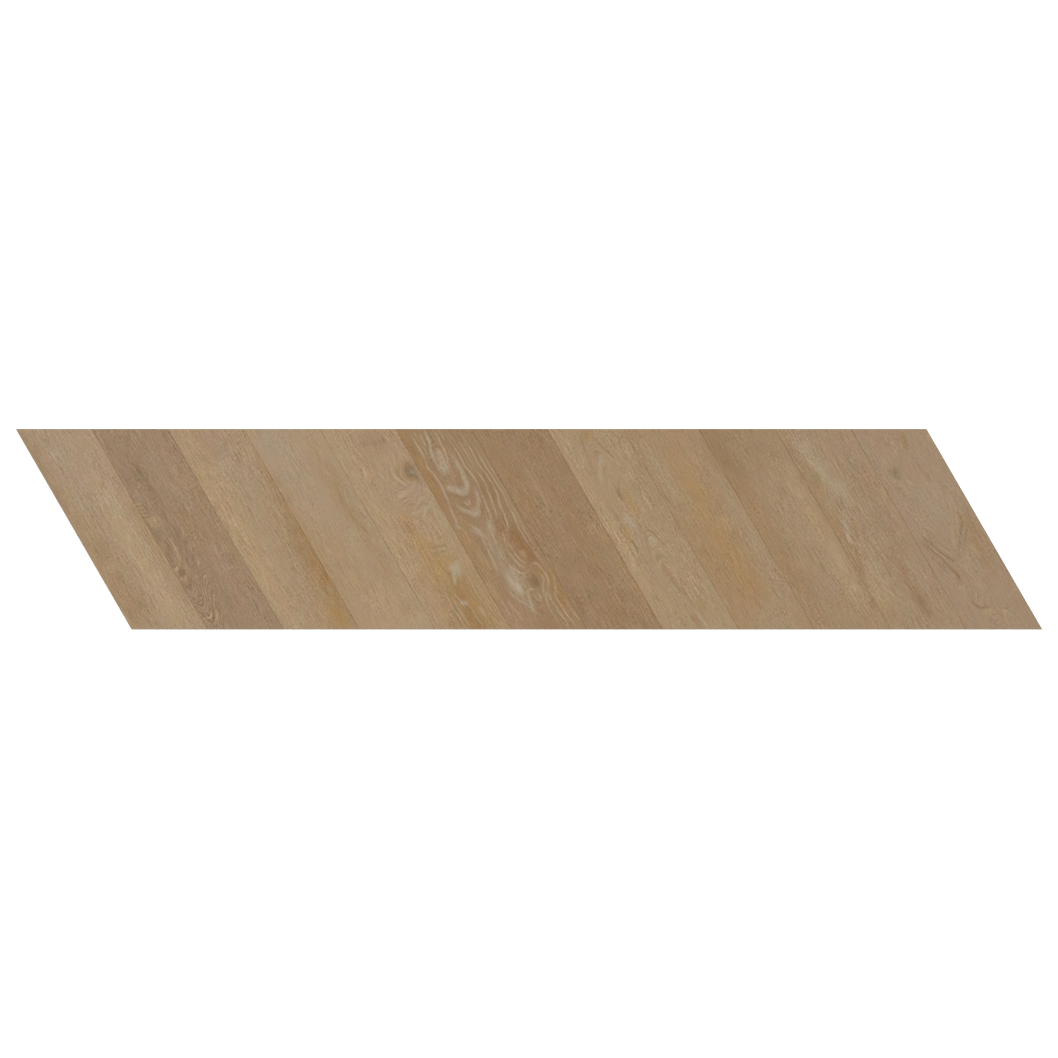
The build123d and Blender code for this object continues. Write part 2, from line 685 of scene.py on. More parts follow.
                LIMED, 0.66, 1.4,
                ((107, 9.8), (116, 8.5), (124, 7.8), (131, 7.2)),
                ((127, 4.6), (131, 5.2), (136, 6)),
                ((111, 26), (117, 29.5), (112, 33)),
                ((135, 19), (143, 22.6), (150, 25.2), (158, 24.6), (166, 23.4), (188, 21), (205, 20.2)),
                ((139, 45), (146, 41), (152, 37.8), (160, 35.6), (170, 33.6), (188, 33), (200, 35)),
                ((225, 19.6), (233, 22), (240, 24.6), (247, 28), (255, 31.6)),
                ((235, 38.4), (243, 36.2), (249, 33.8), (256, 32.6), (264, 34)),
            ),
            *Stroke.several(
                CHALK, 0.42, 1.0,
                ((126, 7), (132, 7.6), (141, 9.4), (150, 10.4), (160, 11)),
                ((12, 16), (22, 17), (34, 17.5), (48, 17)),
                ((18, 21.4), (27, 21.4), (36, 20.6)),
                ((25, 42), (32, 42), (40, 41.6)),
                ((170, 36.8), (184, 36), (197, 36.6)),
                ((33, 50.6), (46, 51), (60, 52), (76, 52), (90, 53)),
                ((50, 59), (64, 58.6), (80, 58.8), (96, 60)),
                ((58, 72), (90, 72.6), (120, 73), (150, 71), (170, 70.2), (186, 70.6), (204, 73)),
                ((223, 40.5), (218.5, 41.5), (219, 44), (223, 44)),
                ((233, 73.4), (241, 70), (249, 67), (259, 64.6)),
                ((166, 10), (176, 10.6), (187, 10.4)),
                ((164, 13.4), (178, 13.6), (197, 13)),
                ((231, 13), (244, 14.4), (254, 16), (265, 16.4)),
                ((225, 6), (240, 7.6), (253, 8)),
                ((264, 70.6), (276, 71.4), (294, 71.8)),
            ),
            *Stroke(CHALK, 0.4, 0.9, ((148, 30), (164, 27.6), (180, 26.6), (198, 26))).nested(2, 2, 3.2),
            *Stroke.several(
                CHALK, 0.66, 1.0,
                ((26, 47.3), (44, 47.4), (60, 48), (74, 47.7), (86, 49.2), (97, 50), (108, 49), (119, 47),
                 (130, 46), (138, 44.6), (145, 43)),
                ((35, 56), (52, 56.2), (70, 55.8), (84, 55.4), (94, 57), (103, 58), (111, 57.4),
                 (119, 55.6), (128, 53.8), (137, 52), (146, 50.4), (157, 49)),
                ((33, 62.6), (46, 62.4), (60, 62), (76, 62.4), (90, 63), (100, 64), (109, 64.7),
                 (116, 64.2), (124, 62.6), (133, 60.4), (142, 59.2), (152, 58.2), (160, 56), (166, 53),
                 (171, 51)),
                ((50, 67.5), (70, 67.8), (92, 68.4), (112, 69.6), (132, 69), (150, 67.6), (162, 67),
                 (172, 65.7), (181, 65.1), (191, 66.4), (201, 68), (212, 69.7), (230, 71)),
                ((250, 65), (262, 62.8), (276, 63.4), (301, 65.4)),
                ((223, 60.5), (230, 61.4), (236, 59), (242, 55), (249, 51)),
                ((174, 48), (182, 46.8), (190, 47), (198, 48.4), (204, 50), (210, 52.4)),
                ((243, 43.5), (246, 42.4), (250, 43), (251, 46), (247, 47.6), (243.5, 46)),
            ),
            *Stroke.several(
                CHALK, 0.62, 1.1,
                ((156, 49), (165, 47), (171, 45.4), (178, 43.4), (186, 42), (194, 42.3), (201, 43.6),
                 (206, 45.8), (212, 49)),
                ((212.5, 53.5), (211.5, 57.5), (213, 62), (217, 64.7), (223, 65.8), (230, 66), (236, 64.8),
                 (241, 62.4), (245, 59.4), (249, 55.6), (253, 52.4), (260, 50.7), (272, 50.2), (293, 49.8)),
                ((246, 61), (252, 57.6), (260, 56.5), (268, 57), (276, 57.7), (284, 58.5), (298, 59)),
            ),
            Stroke(UMBER, 0.3, 1.1, ((257, 38.6), (268, 40.6), (261, 42.6))),
            Stroke(LIMED, 0.7, 3.4, ((86, 16), (91, 21), (95.6, 26.4), (99, 32), (101, 37))),
        ),
        knots=(Knot((228, 50.5), (7.5, 5.4), 0.38),),
    ),
    # Plain brown, lighter towards its right joint
    Stave(
        "#997d5f", fibre=1.52, joint_shade=0.96,
        tints=(
            Tint(ROSE, 0.35, (110, 33), (60, 6)),
            Tint(RUST, 0.18, (50, 55), (16, 9)),
            Tint(HONEY, 0.26, (205, 70), (68, 7)),
            Tint(MIST, 0.16, (205, 66), (60, 9)),
            Tint(OCHRE, 0.2, (170, 48), (50, 11)),
            Tint(OCHRE, 0.24, (75, 12), (60, 9)),
            Tint(RUST, 0.14, (262, 40), (22, 16)),
        ),
        strokes=(
            Stroke(CREAM, 0.24, 1.3, ((74, 30), (92, 31), (112, 32), (130, 31.5))),
            *Stroke(UMBER, 0.28, 1.0, ((206, 3), (228, 3.6), (252, 4.6))).nested(3, 2.0, 2.6),
            Stroke(UMBER, 0.22, 1.1, ((200, 40), (215, 41), (232, 44))),
        ),
    ),
    # Light, with two faint eyes one above the other and a pin knot between them
    Stave(
        "#a58c6d", fibre=1.3, joint_shade=0.9, columns=60,
        tints=(
            Tint(OCHRE, 0.5, (30, 35), (9, 6)),
            Tint(MIST, 0.45, (40, 34), (3.5, 4)),
            Tint(UMBER, 0.24, (50, 35), (6, 3.6)),
            Tint(LIMED, 0.45, (63, 36.5), (6, 4)),
            Tint(LIMED, 0.35, (79, 24.5), (5, 3)),
            Tint(HONEY, 0.6, (122, 40.5), (15, 4.5)),
            Tint(HONEY, 0.85, (151, 19.6), (10, 3.0)),
            Tint(LIMED, 0.9, (138, 29), (11, 3.2)),
            Tint(MIST, 0.45, (157, 26), (10, 4)),
            Tint(LIMED, 0.5, (170, 40.5), (6, 3.8)),
            Tint(LIMED, 0.3, (178, 33.5), (4, 3)),
            Tint(CHALK, 0.4, (198, 33), (5, 2.5)),
            Tint(LIMED, 0.4, (214, 44), (6, 2.6)),
            Tint(UMBER, 0.46, (190.5, 37), (3.5, 3.2)),
            Tint(RUST, 0.36, (211, 37), (11, 3.4)),
            Tint(CREAM, 0.3, (150, 7), (110, 7)),
            Tint(CREAM, 0.4, (242, 19), (11, 2.6)),
            Tint(RUST, 0.26, (275, 37), (8, 3)),
            Tint(OCHRE, 0.36, (262, 52), (8, 3)),
            Tint(UMBER, 0.1, (130, 70), (80, 9)),
        ),
        strokes=(
            *Stroke.several(
                UMBER, 0.3, 1.3,
                ((24, 30), (36, 27), (50, 24.4), (64, 22), (80, 20)),
                ((34, 40), (42, 42), (52, 44.8), (62, 47.6), (75, 51)),
                ((104, 34.4), (100, 36), (96, 38.6), (92, 41)),
                ((102, 17.6), (118, 18), (134, 18.2), (150, 19.6), (168, 20), (190, 17)),
                ((153, 40), (159, 43), (166, 46.4), (176, 49), (192, 52)),
                ((156, 39), (164, 36), (172, 33), (181, 30), (196, 27)),
                ((216, 38), (226, 38.8), (236, 40.8), (250, 43.4), (262, 44)),
            ),
            *Stroke.several(
                CREAM, 0.38, 1.2,
                ((42, 38), (50, 41.4), (60, 44.6), (72, 48)),
                ((97, 31), (104, 30), (112, 30.6)),
                ((44, 34), (52, 40), (60, 40.5), (68, 36), (75, 28)),
                ((58, 28), (66, 31), (74, 30), (82, 27)),
                ((66, 44), (72, 40), (80, 38), (88, 39)),
                ((84, 33), (90, 30), (96, 27), (104, 25)),
                ((204, 33), (198.5, 35.4), (197, 37.4), (200, 40.6), (208, 43)),
                ((214, 42.4), (228, 44.6), (242, 46), (256, 46.6)),
            ),
            Stroke(LIMED, 0.75, 1.5, ((262, 43.4), (270, 43.8), (279, 44.4), (289, 45))),
            Stroke(LIMED, 0.6, 2.0, ((55, 39), (62, 35), (69, 30), (76, 26), (84, 22))),
            Stroke(UMBER, 0.5, 1.1, ((163, 56), (165, 56.6), (168, 57.2))),
        ),
        arches=(
            Arches(-0.3, (26, 35), (90, 34), (2.6, 2.6), -30, 58),
            Arches(0.1, (150, 40), (210, 37.5), (2.4, 2.4), -32, 56),
        ),
        knots=(Knot((107, 33.8), (6, 2.4), 0.36),),
    ),
    # Yellow-brown down its middle, cooler along both joints
    Stave(
        "#a28767", fibre=1.03, joint_shade=0.89,
        tints=(
            Tint(SAGE, 0.4, (80, 14), (45, 9)),
            Tint(HONEY, 0.36, (150, 33), (112, 15)),
            Tint(HONEY, 0.1, (105, 40), (18, 9)),
            Tint(OCHRE, 0.22, (205, 34), (50, 15)),
            Tint(RUST, 0.06, (128, 44), (18, 6)),
            Tint(OCHRE, 0.24, (185, 10), (70, 10)),
            Tint(MIST, 0.34, (185, 66), (80, 8)),
            Tint(UMBER, 0.22, (78, 73), (24, 5)),
            Tint(SAGE, 0.3, (272, 44), (22, 25)),
        ),
        strokes=(
            Stroke(UMBER, 0.34, 1.3, ((88, 3), (100, 4.5), (110, 6.5))),
            Stroke(CREAM, 0.3, 1.2, ((114, 32), (126, 32.5), (138, 31.5))),
            *Stroke(CREAM, 0.24, 1.1, ((150, 62), (160, 59), (172, 55))).nested(3, 11.0, 3.0),
        ),
    ),
    # Brown at its left joint, lighter to the right, with fine straight lines low down
    Stave(
        "#a08668", fibre=1.15, joint_shade=0.9,
        tints=(
            Tint(UMBER, 0.3, (35, 10), (55, 12)),
            Tint(OCHRE, 0.24, (90, 8), (115, 13)),
            Tint(UMBER, 0.14, (40, 40), (40, 30)),
            Tint(RUST, 0.16, (200, 12), (75, 8)),
            Tint(CREAM, 0.25, (170, 62), (85, 9)),
            Tint(CHALK, 0.25, (120, 62), (26, 7)),
            Tint(CHALK, 0.45, (218, 62), (42, 8)),
            Tint(SAGE, 0.24, (165, 42), (75, 14)),
        ),
        strokes=(
            *Stroke(CREAM, 0.22, 1.0, ((150, 31), (180, 31.5), (212, 32))).nested(4, 3.0, 3.2),
            *Stroke.several(
                UMBER, 0.28, 1.0,
                ((176, 43), (196, 43.5), (218, 43)),
                ((150, 37), (176, 37.5), (210, 38.5)),
            ),
        ),
    ),
    # A cool light streak down its left half, breaking up into slanting flames
    Stave(
        "#a0886c", fibre=1.22, joint_shade=0.87, columns=60,
        tints=(
            Tint(OCHRE, 0.34, (110, 4), (95, 7)),
            Tint(SAGE, 0.36, (66, 25), (42, 9), 4),
            Tint(LIMED, 0.45, (64, 21), (44, 5), 9),
            Tint(SAGE, 0.6, (104, 30), (18, 7)),
            Tint(LIMED, 0.4, (144, 12), (12, 4.2), -14),
            Tint(OCHRE, 0.34, (80, 11), (14, 5)),
            Tint(OCHRE, 0.3, (145, 24), (14, 5)),
            Tint(OCHRE, 0.12, (168, 9), (12, 5), -16),
            Tint(UMBER, 0.16, (125, 57), (75, 9)),
            Tint(ROSE, 0.36, (120, 66), (60, 8)),
            Tint(CHALK, 0.16, (172, 18), (22, 12)),
            Tint(CHALK, 0.3, (218, 12), (24, 12)),
            Tint(SAGE, 0.3, (218, 56), (12, 7)),
            Tint(RUST, 0.26, (232, 45), (40, 7)),
            Tint(UMBER, 0.26, (258, 46), (13, 5)),
            Tint(HONEY, 0.16, (245, 8), (45, 10)),
        ),
        strokes=(
            *Stroke.several(
                CREAM, 0.3, 1.1,
                ((8, 16), (36, 17.5), (66, 19), (84, 17), (98, 11)),
                ((58, 35), (84, 35.5), (112, 35.5)),
                ((30, 39), (60, 39.5), (90, 39.8)),
                ((158, 18), (172, 14.5), (186, 9), (200, 3)),
                ((160, 32), (178, 34), (200, 35.5)),
            ),
            *Stroke.several(
                LIMED, 0.34, 1.4,
                ((124, 19), (134, 15.5), (146, 11.5), (158, 7.5)),
                ((122, 25), (134, 28.6), (146, 30.5), (160, 32.5)),
            ),
            *Stroke(UMBER, 0.26, 1.2, ((160, 14), (174, 9), (188, 4), (198, 0))).nested(2, 9.0),
            Stroke(UMBER, 0.3, 1.2, ((156, 27), (172, 29.5), (190, 31.5), (212, 33))),
            *Stroke(CHALK, 0.4, 1.2, ((203, 0), (199, 7), (194, 15), (186, 24))).nested(6, 5.2),
            *Stroke(CHALK, 0.34, 1.2, ((212, 13), (220, 17), (230, 20.5), (240, 23))).nested(3, 5, 3),
            Stroke(BARK, 0.26, 1.2, ((250, 45.5), (262, 46.5), (276, 47.5))),
        ),
    ),
    # Smooth and cool in the middle, with a feather of dark lines that meet low down, and a small knot
    Stave(
        "#a0886e", fibre=0.93, joint_shade=0.87, columns=60,
        tints=(
            Tint(MIST, 0.42, (118, 38), (26, 24)),
            Tint(ROSE, 0.3, (30, 20), (20, 18)),
            Tint(OCHRE, 0.36, (42, 46), (11, 4.5)),
            Tint(UMBER, 0.2, (42, 46), (10, 3.5)),
            Tint(CREAM, 0.4, (49, 31.5), (2.5, 2.2)),
            Tint(CREAM, 0.4, (39, 32.5), (2.2, 2.2)),
            Tint(UMBER, 0.3, (39, 28.6), (2.4, 2)),
            Tint(UMBER, 0.24, (160, 9), (14, 5), 24),
            Tint(RUST, 0.2, (168, 64), (20, 7)),
            Tint(OCHRE, 0.3, (185, 62), (40, 8)),
            Tint(OCHRE, 0.4, (204, 22.5), (5, 3.4)),
            Tint(RUST, 0.3, (210, 21.5), (8, 2.8)),
            Tint(SAGE, 0.4, (206, 37), (10, 6)),
            Tint(LIMED, 0.4, (222, 19.5), (3, 3)),
            Tint(CREAM, 0.26, (258, 30), (5, 6)),
        ),
        strokes=(
            *Stroke.several(
                CREAM, 0.48, 1.2,
                ((34, 29), (28, 30), (25.5, 32), (29, 34.4)),
                ((26, 39.6), (31, 40.2), (36, 39)),
                ((80, 26), (87, 28), (92, 31), (88, 34), (80, 36)),
                ((281, 43), (274, 45.4), (267, 48.4), (272, 50.6), (279, 52)),
            ),
            Stroke(LIMED, 0.32, 1.6, ((36, 53), (43, 51), (50, 49))),
            *Stroke.several(
                UMBER, 0.54, 1.3,
                ((146, 8.6), (154, 12), (167, 16), (178.6, 20.4), (188.6, 26), (191, 28.4)),
                ((153, 5.4), (167, 11.6), (180, 16), (194, 19), (204, 22), (213, 21.6)),
                ((153, 57.5), (163, 52), (173, 46), (183, 37.5), (191, 30)),
                ((238, 20.4), (244, 22.6), (249.4, 25), (252, 29.4), (254.6, 35), (256, 39)),
            ),
            *Stroke.several(
                UMBER, 0.3, 1.1,
                ((141, 61.4), (151, 57), (161, 51), (170, 45), (178, 38.6)),
                ((160, 60), (170, 53.4), (180, 46), (190, 38)),
                ((170, 5.6), (180, 9), (190, 12), (199, 13.4)),
            ),
            *Stroke.several(
                CHALK, 0.4, 1.1,
                ((158, 11), (168, 14.6), (178, 18), (189, 18.8)),
                ((168, 22), (176, 25), (182, 27.4)),
                ((139, 59), (153, 52), (166, 45), (176, 37)),
                ((157, 61), (168, 50), (180, 41), (186, 36)),
            ),
            *Stroke(CHALK, 0.36, 1.0, ((138, 17), (144, 20.6), (149, 24))).nested(5, 6.4, 1.6),
            *Stroke(UMBER, 0.22, 1.0, ((141, 16), (147, 20), (152, 23.4))).nested(5, 6.4, 1.6),
            *Stroke(CHALK, 0.26, 1.0, ((150, 47), (158, 42.6), (166, 37.6))).nested(3, 5.4, -1.8),
            *Stroke(CHALK, 0.26, 1.0, ((203, 36), (214, 35.4), (226, 34))).nested(4, 4.0, 2.6),
        ),
        knots=(Knot((70, 20), (6, 5), 0.34, 0.2),),
    ),
)


@dataclass(frozen=True)
class Ripple:
    """One of a stave's own noises: its number, how strong it is, and the size of its bumps in millimetres."""

    number: int
    strength: float
    length: float
    width: float


@dataclass(frozen=True)
class StavePrint:
    """The print of one stave on the mesh: its colours, the flow of its grain and its pressed relief."""

    stave: Stave
    number: int
    noise_step: int = 100  # from one stave's noises to those of the next
    haze: float = 0.046  # white light that the clear wear layer sends back
    gain: float = 1.122  # light on the face, with what the wear layer lets through
    darkest: float = 0.01  # ink, in linear light
    tint_stray: Place = (2.4, 0.8)  # mm that patches stray from their places, along the grain and across it
    line_stray: Place = (0.8, 0.7)  # the same for drawn lines
    stray_along: tuple[Ripple, ...] = (Ripple(3, 1.0, 16, 7), Ripple(10, 0.5, 5, 3))
    stray_across: tuple[Ripple, ...] = (Ripple(1, 1.0, 14, 9), Ripple(2, 0.5, 5, 5), Ripple(9, 0.4, 2.8, 4))
    ragged: tuple[Ripple, ...] = (Ripple(8, 0.4, 12, 4.5),)  # makes patches uneven
    broken: tuple[Ripple, ...] = (Ripple(4, 0.4, 8, 2.4),)  # makes drawn lines uneven
    waver: tuple[Ripple, ...] = (Ripple(11, 1.4, 30, 16), Ripple(12, 0.4, 10, 6))  # mm, of the straight grain
    rough: tuple[Ripple, ...] = (Ripple(7, 0.5, 40, 12),)  # parts where the fine grain shows more or less
    pressed: tuple[Ripple, ...] = (Ripple(5, 1.0, 26, 3.2), Ripple(6, 0.5, 11, 2))  # lines of the press plate
    press_mean: float = 0.5  # depth, as a share of the deepest
    press_contrast: float = 0.45
    flank_shade: float = 0.22  # how much a light line darkens the wood beside it
    bend_reach: Place = (9.0, 6.0)  # mm over which a drawn line bends the grain round it
    bend_steps: int = 3  # places on a drawn line, for each span, that bend the grain
    straight_pull: float = 0.35  # of the straight grain, against 1 for such a place

    def noise(self, ripples: tuple[Ripple, ...], at: Spots) -> np.ndarray:
        """Adds up some of the stave's own noises.

        Args:
            ripples: Which ones.
            at: Places on the stave.

        Returns:
            Their sum at each place.
        """
        total = np.zeros(at.along.shape)
        for ripple in ripples:
            noise = SoftNoise(self.noise_step * self.number + ripple.number)
            total += ripple.strength * noise.at(at.along / ripple.length, at.across / ripple.width)
        return total

    def strayed(self, at: Spots, stray: Place) -> Spots:
        """Moves each place a little, so that drawn lines and patches waver.

        Args:
            at: Places on the stave.
            stray: How far they move, along the grain and across it.

        Returns:
            The moved places.
        """
        down, aside = self.noise(self.stray_along, at), self.noise(self.stray_across, at)
        return Spots(at.along + stray[0] * down, at.across + stray[1] * aside)

    def colours(self, at: Spots) -> np.ndarray:
        """Paints the stave.

        Args:
            at: Places on the stave.

        Returns:
            The ink's colour at each place, in linear light, deeper than it looks by the haze over it.
        """
        ground = linear(self.stave.ground)
        seen = np.broadcast_to(ground, (*at.along.shape, 3)).copy()
        patch = self.strayed(at, self.tint_stray)
        ragged = 1 + self.noise(self.ragged, at)
        for tint in (*self.stave.tints, *(t for knot in self.stave.knots for t in knot.tints())):
            self.lay(seen, tint.tone, ragged * tint.mask(patch))
        place = self.strayed(at, self.line_stray)
        broken = 1 + self.noise(self.broken, at)
        for stroke in self.stave.strokes:
            line, flank = stroke.mask(place)
            if stroke.tone.light.sum() > ground.sum():
                self.lay(seen, UMBER, self.flank_shade * broken * flank)
            self.lay(seen, stroke.tone, broken * line)
        return np.clip((seen - self.haze) / self.gain, self.darkest, 1)

    @staticmethod
    def lay(seen: np.ndarray, tone: Tone, share: np.ndarray) -> None:
        """Mixes a share of a tone, from 0 to 1, into the colours."""
        seen += np.clip(share, 0, 1)[..., None] * (tone.light - seen)

    def flow(self, at: Spots) -> np.ndarray:
        """Follows the grain past the drawn lines and the knots and through the arches.

        Args:
            at: Places on the stave.

        Returns:
            For each place, which line of straight grain runs through it, in millimetres across.
        """
        shift, weight = np.zeros(at.along.shape), np.full(at.along.shape, self.straight_pull)
        for stroke in self.stave.strokes:
            line = stroke.curve(self.bend_steps)
            if np.all(np.diff(line[:, 0]) > 0):
                chord = np.interp(line[:, 0], line[[0, -1], 0], line[[0, -1], 1])
                for (a, b), straight in zip(line, chord):
                    down, aside = (at.along - a) / self.bend_reach[0], (at.across - b) / self.bend_reach[1]
                    near = np.exp(-(down**2) - aside**2)
                    shift += near * (b - straight)
                    weight += near
        flow = at.across - shift / weight
        for knot in self.stave.knots:
            flow -= knot.push(at)
        for family in self.stave.arches:
            apex = family.apex(at)
            flow += family.window(at, apex) * (family.straightened(apex) - flow)
        return flow - self.noise(self.waver, at)

    def show(self, at: Spots) -> np.ndarray:
        """Finds how strongly the fine grain shows, which the arches change too.

        Args:
            at: Places on the stave.

        Returns:
            Its strength at each place, about 1.
        """
        shown = self.stave.fibre * (1 + self.noise(self.rough, at))
        for family in self.stave.arches:
            shown += family.strength * family.window(at, family.apex(at))
        return shown

    def relief(self, at: Spots) -> np.ndarray:
        """Presses the grain into the stave, in step with the print.

        Args:
            at: Places on the stave.

        Returns:
            How deep the press has left each place, from 0 to 1.
        """
        lines = self.noise(self.pressed, Spots(at.along, self.flow(at)))
        return np.clip(self.press_mean + self.press_contrast * lines * np.clip(self.show(at), 0, 1), 0, 1)


@dataclass(frozen=True)
class Pattern:
    """A random pattern drawn out along the grain: its size in millimetres and how fine its detail is."""

    length: float
    width: float
    detail: float


@dataclass(frozen=True)
class PrintedVinyl:
    """Oak print under a clear vinyl wear layer, hot-pressed against a grained plate and cured matt.

    The eye sees soft wood colours, fine fibres and pores that run down each stave, and a dull, even sheen.
    """

    fibres: Pattern = Pattern(20.0, 1.5, 1.5)  # half as many as real ones, so that they show
    specks: Pattern = Pattern(3.3, 1.35, 1.0)  # the flecks of the print, coarser than real, so that they show
    clouds: Pattern = Pattern(45.0, 8.0, 3.0)
    mottle: Pattern = Pattern(22.0, 9.0, 2.0)  # faint pink, green and yellow in the print
    harshness: float = 0.6  # of the finer detail in these patterns
    contrasts: tuple[float, float, float] = (0.84, 0.64, 0.12)  # of fibres, specks and clouds
    hue_contrast: float = 0.20
    warmth: tuple[float, float, float] = (0.83, 1.0, 1.58)  # dark fibres are warmer than light ones
    roughness: float = 0.56
    roughness_change: tuple[float, float] = (-0.05, 0.07)  # on the darkest and on the lightest fibres
    fibre_range: tuple[float, float] = (0.3, 0.7)  # of the pattern's values, from the darkest to the lightest
    bump: float = 0.35
    bump_depth: float = 0.06  # mm
    ior: float = 1.5

    def material(self) -> bpy.types.Material:
        """Makes the finish.

        Returns:
            The material.
        """
        made = new_material("printed_vinyl")
        tree = made.node_tree
        drawn = self.drawn_patterns(tree)
        fibres, specks = (node.outputs["Fac"] for node in drawn[:2])
        dark, light = self.fibre_range
        low, high = (self.roughness + change for change in self.roughness_change)
        rough = add_node(
            tree, "ShaderNodeMapRange", inputs={0: fibres, 1: dark, 2: light, 3: low, 4: high}
        ).outputs[0]
        height = add_node(tree, "ShaderNodeMath", {"operation": "ADD"}, {0: fibres, 1: specks}).outputs[0]
        bump = add_node(
            tree,
            "ShaderNodeBump",
            inputs={"Strength": self.bump, "Distance": self.bump_depth * MM, "Height": height},
        ).outputs[0]
        colour = self.printed_colour(tree, drawn)
        shader = add_node(
            tree,
            "ShaderNodeBsdfPrincipled",
            inputs={"Base Color": colour, "Roughness": rough, "IOR": self.ior, "Normal": bump},
        ).outputs[0]
        add_node(tree, "ShaderNodeOutputMaterial", inputs={"Surface": shader})
        return made

    def drawn_patterns(self, tree: bpy.types.NodeTree) -> list[bpy.types.Node]:
        """Draws the random patterns along the grain.

        Args:
            tree: The material's node tree.

        Returns:
            The noise of the fibres, the specks, the clouds and the mottle.
        """
        grain = add_node(tree, "ShaderNodeAttribute", {"attribute_name": "grain"}).outputs["Vector"]
        drawn = []
        for pattern in (self.fibres, self.specks, self.clouds, self.mottle):
            scale = (1 / pattern.length, 1 / pattern.width, 1.0)
            at = add_node(tree, "ShaderNodeVectorMath", {"operation": "MULTIPLY"}, {0: grain, 1: scale})
            values = {
                "Vector": at.outputs[0],
                "Scale": 1.0,
                "Detail": pattern.detail,
                "Roughness": self.harshness,
            }
            drawn.append(add_node(tree, "ShaderNodeTexNoise", inputs=values))
        return drawn

    def printed_colour(self, tree: bpy.types.NodeTree, drawn: list[bpy.types.Node]) -> bpy.types.NodeSocket:
        """Lays the patterns over the ink, which carries the painted shade at the joints.

        Args:
            tree: The material's node tree.
            drawn: The noise of the fibres, the specks, the clouds and the mottle.

        Returns:
            The output that holds the colour.
        """
        ink_and_joint_shade = add_node(tree, "ShaderNodeAttribute", {"attribute_name": "ink_and_joint_shade"}).outputs["Vector"]
        show = add_node(tree, "ShaderNodeAttribute", {"attribute_name": "show"}).outputs["Fac"]
        fibres, specks, clouds = (node.outputs["Fac"] for node in drawn[:3])
        values = add_node(tree, "ShaderNodeCombineXYZ", inputs={0: fibres, 1: specks, 2: clouds}).outputs[0]
        level = add_node(
            tree, "ShaderNodeVectorMath", {"operation": "SUBTRACT"}, {0: values, 1: (NOISE_MEAN,) * 3}
        ).outputs[0]
        change = add_node(
            tree, "ShaderNodeVectorMath", {"operation": "DOT_PRODUCT"}, {0: level, 1: self.contrasts}
        ).outputs["Value"]
        shown = add_node(tree, "ShaderNodeMath", {"operation": "MULTIPLY"}, {0: change, 1: show}).outputs[0]
        plain = 1 - NOISE_MEAN * self.hue_contrast
        hue = add_node(
            tree,
            "ShaderNodeVectorMath",
            {"operation": "MULTIPLY_ADD"},
            {0: drawn[-1].outputs["Color"], 1: (self.hue_contrast,) * 3, 2: (plain,) * 3},
        ).outputs[0]
        tone = add_node(
            tree, "ShaderNodeVectorMath", {"operation": "MULTIPLY_ADD"}, {0: shown, 1: self.warmth, 2: hue}
        ).outputs[0]
        return add_node(
            tree, "ShaderNodeVectorMath", {"operation": "MULTIPLY"}, {0: ink_and_joint_shade, 1: tone}
        ).outputs[0]


@dataclass(frozen=True)
class FilledVinyl:
    """Chalk-filled vinyl without print: a dull warm grey, with fine marks of how its surface was made."""

    name: str
    colour: str
    mark_size: tuple[float, float, float]  # mm along X, Y and Z, coarser than real, so that the marks show
    contrast: tuple[float, float]  # how dark and how light the marks are, as shares of the colour
    bump: float
    roughness: float
    mark_depth: float = 0.08  # mm
    mark_detail: float = 3.0
    ior: float = 1.53

    def material(self) -> bpy.types.Material:
        """Makes the finish.

        Returns:
            The material.
        """
        made = new_material(self.name)
        tree = made.node_tree
        place = add_node(tree, "ShaderNodeTexCoord").outputs["Object"]
        scale = tuple(1 / (size * MM) for size in self.mark_size)
        at = add_node(
            tree, "ShaderNodeVectorMath", {"operation": "MULTIPLY"}, {0: place, 1: scale}
        ).outputs[0]
        marks = add_node(
            tree, "ShaderNodeTexNoise", inputs={"Vector": at, "Scale": 1.0, "Detail": self.mark_detail}
        ).outputs["Fac"]
        dark, light = ((*(linear(self.colour) * share), 1.0) for share in self.contrast)
        colour = add_node(
            tree, "ShaderNodeMix", {"data_type": "RGBA"}, {0: marks, 6: dark, 7: light}
        ).outputs[2]
        bump = add_node(
            tree,
            "ShaderNodeBump",
            inputs={"Strength": self.bump, "Distance": self.mark_depth * MM, "Height": marks},
        ).outputs[0]
        shader = add_node(
            tree,
            "ShaderNodeBsdfPrincipled",
            inputs={"Base Color": colour, "Roughness": self.roughness, "IOR": self.ior, "Normal": bump},
        ).outputs[0]
        add_node(tree, "ShaderNodeOutputMaterial", inputs={"Surface": shader})
        return made


class Finish(Enum):
    """The plank's finishes, in the order of its material slots."""

    FACE = PrintedVinyl()
    # Cut through by a guillotine: upright drag marks
    EDGE = FilledVinyl("cut_vinyl", "#8d8578", (1.2, 1.2, 16.7), (0.86, 1.12), 0.4, 0.62)
    # Sanded so that adhesive keys to it: an even, dull tooth
    BACK = FilledVinyl("sanded_vinyl", "#7f7a72", (2.0, 2.0, 2.0), (0.88, 1.12), 0.25, 0.72)


